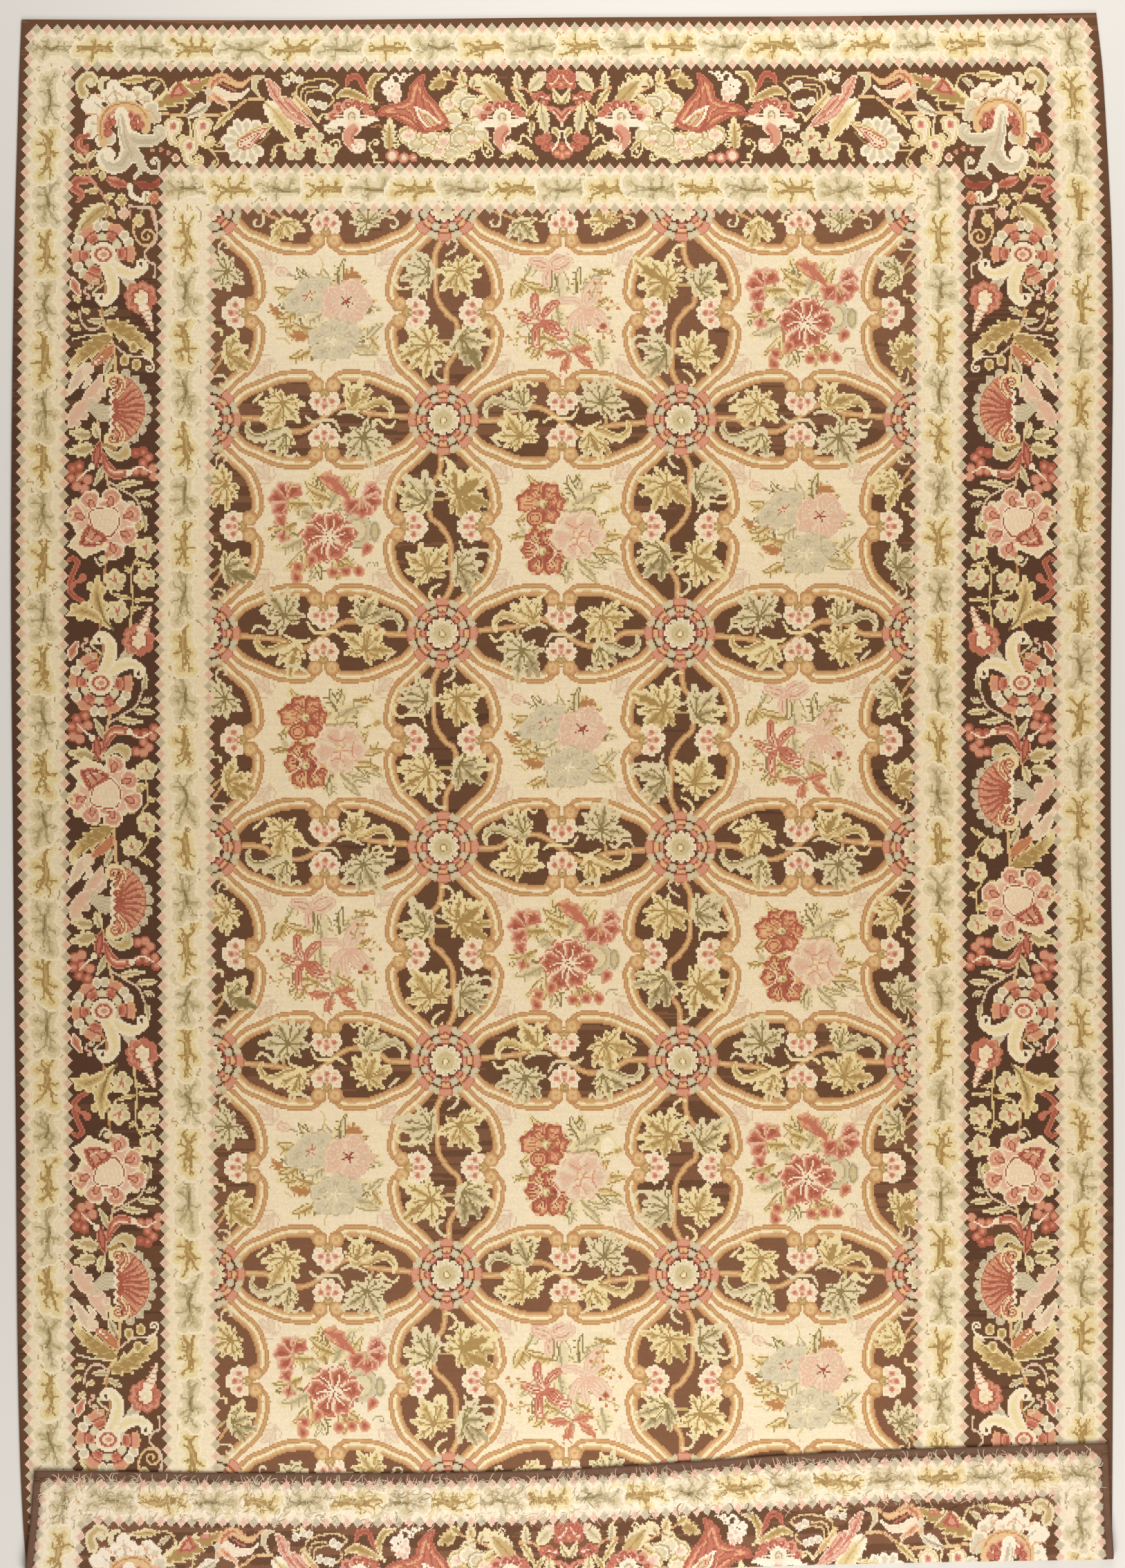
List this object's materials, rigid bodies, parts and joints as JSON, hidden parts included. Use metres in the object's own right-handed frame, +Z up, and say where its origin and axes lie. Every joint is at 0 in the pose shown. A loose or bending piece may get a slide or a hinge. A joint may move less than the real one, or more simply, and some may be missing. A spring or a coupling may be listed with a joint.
{
  "type": "needlepoint rug with one end folded over",
  "caption": "Rectangular floral needlepoint carpet with a dark border, lying flat with one end folded back over its face to show the bound reverse.",
  "frame": {"origin": "on the floor, under the middle of the carpet's footprint as it lies", "axes": "+Z up from the floor, +Y along the carpet from the folded end to the far end, +X across it"},
  "size_m": [2.4452, 3.4624, 0.025],
  "materials": {
    "stitched_wool": "matt wool tent stitch",
    "woven_tape": "matt twill tape"
  },
  "bodies": {
    "root": {"rug_cloth": "stitched_wool", "binding_tape_far_end": "woven_tape", "binding_tape_near_end": "woven_tape", "binding_tape_left": "woven_tape", "binding_tape_right": "woven_tape"}
  },
  "joints": []
}
